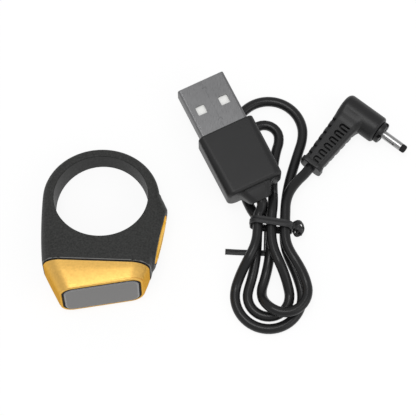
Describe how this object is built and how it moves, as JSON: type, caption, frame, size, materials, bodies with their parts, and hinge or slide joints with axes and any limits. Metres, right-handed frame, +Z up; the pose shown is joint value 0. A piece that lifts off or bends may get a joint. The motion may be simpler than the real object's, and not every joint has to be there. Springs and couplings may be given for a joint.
{
  "type": "smart counter ring",
  "caption": "Wearable counting ring with a slanted display in a gilt bezel and a dished side button, lying beside its tied USB charging lead.",
  "frame": {"origin": "on the supporting surface, under the middle of the ring's box; the lead isn't counted", "axes": "-Y from the finger bore towards the display, +Z up from the side face that the ring lies on, +X towards the counting button and the lead"},
  "size_m": [0.0857, 0.0622, 0.0142],
  "materials": {
    "shell_black": "fine matte moulding, slightly rubbery",
    "gold_plate": "satin gold plating",
    "smoked_glass": "smoked, polished, with a rounded edge",
    "black_rubber": "soft black rubber",
    "panel_black": "dark display panel",
    "board_green": "solder-masked laminate",
    "chip_black": "moulded chip package",
    "ceramic_white": "sintered ceramic",
    "bare_steel": "plain steel",
    "ribbon_amber": "polyimide ribbon",
    "cell_foil": "laminated foil pouch",
    "tray_grey": "moulded",
    "insulator_white": "moulded insulator",
    "lead_black": "flexible cable skin and overmoulding, matte",
    "copper_alloy": "spring copper alloy"
  },
  "bodies": {
    "ring": {"ring_shell": "shell_black", "seam_gasket": "black_rubber", "gold_bezel": "gold_plate", "window_seal": "black_rubber", "display_window": "smoked_glass", "display_panel": "panel_black", "display_carrier": "tray_grey", "display_ribbon": "ribbon_amber", "main_board": "board_green", "bluetooth_controller": "chip_black", "memory_chip": "chip_black", "charge_controller": "chip_black", "clock_crystal": "bare_steel", "chip_antenna": "ceramic_white", "capacitor_1": "ceramic_white", "capacitor_2": "ceramic_white", "capacitor_3": "ceramic_white", "tray": "tray_grey", "tray_screw_1": "bare_steel", "tray_screw_2": "bare_steel", "tray_screw_3": "bare_steel", "battery_pad": "black_rubber", "battery_cell": "cell_foil", "battery_board": "board_green", "motor_can": "bare_steel", "motor_boot": "black_rubber", "socket_housing": "black_rubber", "socket_pin": "gold_plate", "socket_spring": "copper_alloy", "button_trim": "gold_plate", "button_gasket": "black_rubber", "switch_body": "chip_black", "switch_dome": "bare_steel", "button_ribbon": "ribbon_amber"},
    "button": {"button_cap": "gold_plate"},
    "plunger": {"switch_plunger": "insulator_white"},
    "rotor": {"motor_shaft": "bare_steel", "motor_weight": "bare_steel"},
    "charging_lead": {"usb_shell": "bare_steel", "usb_tongue": "insulator_white", "usb_contact_1": "gold_plate", "usb_contact_2": "gold_plate", "usb_contact_3": "gold_plate", "usb_contact_4": "gold_plate", "usb_grip": "lead_black", "cord_tail": "lead_black", "cord_hank": "lead_black", "cord_run": "lead_black", "twist_tie": "lead_black", "plug_grip": "lead_black", "plug_collar": "lead_black", "plug_barrel": "bare_steel", "plug_tip": "black_rubber", "plug_core": "copper_alloy"}
  },
  "joints": [
    {"name": "button_press", "type": "slide", "parent": "ring", "child": "button", "axis": [-0.9866, 0.1618, -0.0222], "range_m": [0, 0.0003], "stiffness_N_per_m": 1500},
    {"name": "plunger_press", "type": "slide", "parent": "ring", "child": "plunger", "axis": [-0.9866, 0.1618, -0.0222], "range_m": [0, 0.0003], "deforming": ["switch_dome"]},
    {"name": "motor_spin", "type": "hinge", "parent": "ring", "child": "rotor", "pos_m": [0, -0.00869, 0.00311], "axis": [1, 0, 0], "continuous": true},
    {"name": "lead_slide", "type": "slide", "parent": "ring", "child": "charging_lead", "axis": [1, 0, 0], "range_m": [0, 0.03]}
  ],
  "couplings": [
    {"joint": "plunger_press", "follows": "button_press", "ratio": 1}
  ]
}
